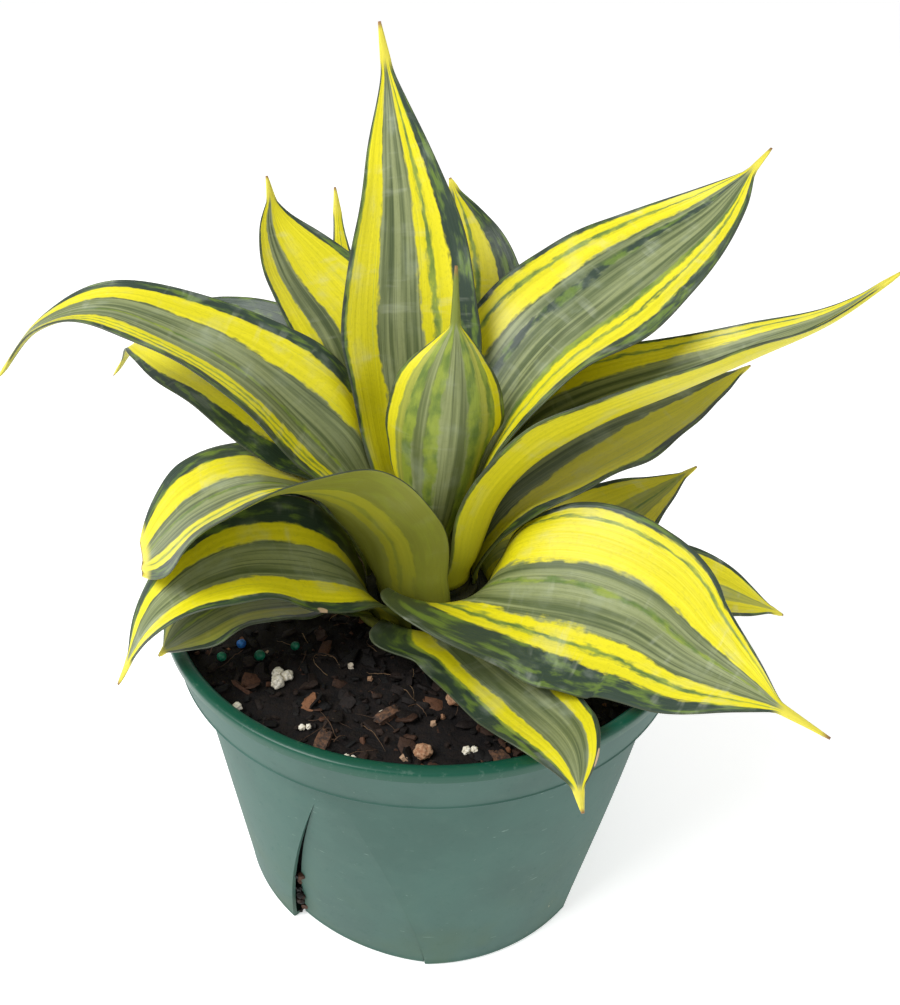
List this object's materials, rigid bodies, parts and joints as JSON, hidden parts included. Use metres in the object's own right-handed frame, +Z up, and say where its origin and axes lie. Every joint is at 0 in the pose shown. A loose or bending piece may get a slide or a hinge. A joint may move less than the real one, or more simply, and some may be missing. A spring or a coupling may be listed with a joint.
{
  "type": "potted snake plant",
  "caption": "Snake plant in a plastic nursery pot: a rosette of stiff, pointed, yellow-banded leaves standing in bark potting mix.",
  "frame": {"origin": "middle of the pot's underside", "axes": "+Z up, -Y to the front where the soil shows, +X to the right seen from the front"},
  "size_m": [0.2282, 0.1828, 0.2411],
  "materials": {
    "pot_plastic": "satin",
    "potting_mix": "matte",
    "rhizome": "matte",
    "leaf_skin": "satin",
    "perlite": "matte",
    "stone": "matte",
    "bark": "matte",
    "prill_green": "satin",
    "prill_blue": "satin"
  },
  "bodies": {
    "root": {"pot": "pot_plastic", "soil": "potting_mix", "crown": "rhizome", "leaf_01": "leaf_skin", "leaf_02": "leaf_skin", "leaf_03": "leaf_skin", "leaf_04": "leaf_skin", "leaf_05": "leaf_skin", "leaf_06": "leaf_skin", "leaf_07": "leaf_skin", "leaf_08": "leaf_skin", "leaf_09": "leaf_skin", "leaf_10": "leaf_skin", "leaf_11": "leaf_skin", "leaf_12": "leaf_skin", "leaf_13": "leaf_skin", "leaf_14": "leaf_skin", "leaf_15": "leaf_skin", "leaf_16": "leaf_skin", "leaf_17": "leaf_skin", "leaf_18": "leaf_skin", "leaf_19": "leaf_skin", "leaf_20": "leaf_skin", "perlite_1": "perlite", "perlite_2": "perlite", "perlite_3": "perlite", "perlite_4": "perlite", "perlite_5": "perlite", "perlite_6": "perlite", "prill_1": "prill_blue", "prill_2": "prill_green", "prill_3": "prill_blue", "prill_4": "prill_green", "prill_5": "prill_blue", "stone_1": "stone", "stone_2": "stone", "bark_1": "bark", "bark_2": "bark", "bark_3": "bark", "bark_4": "bark"}
  },
  "joints": []
}
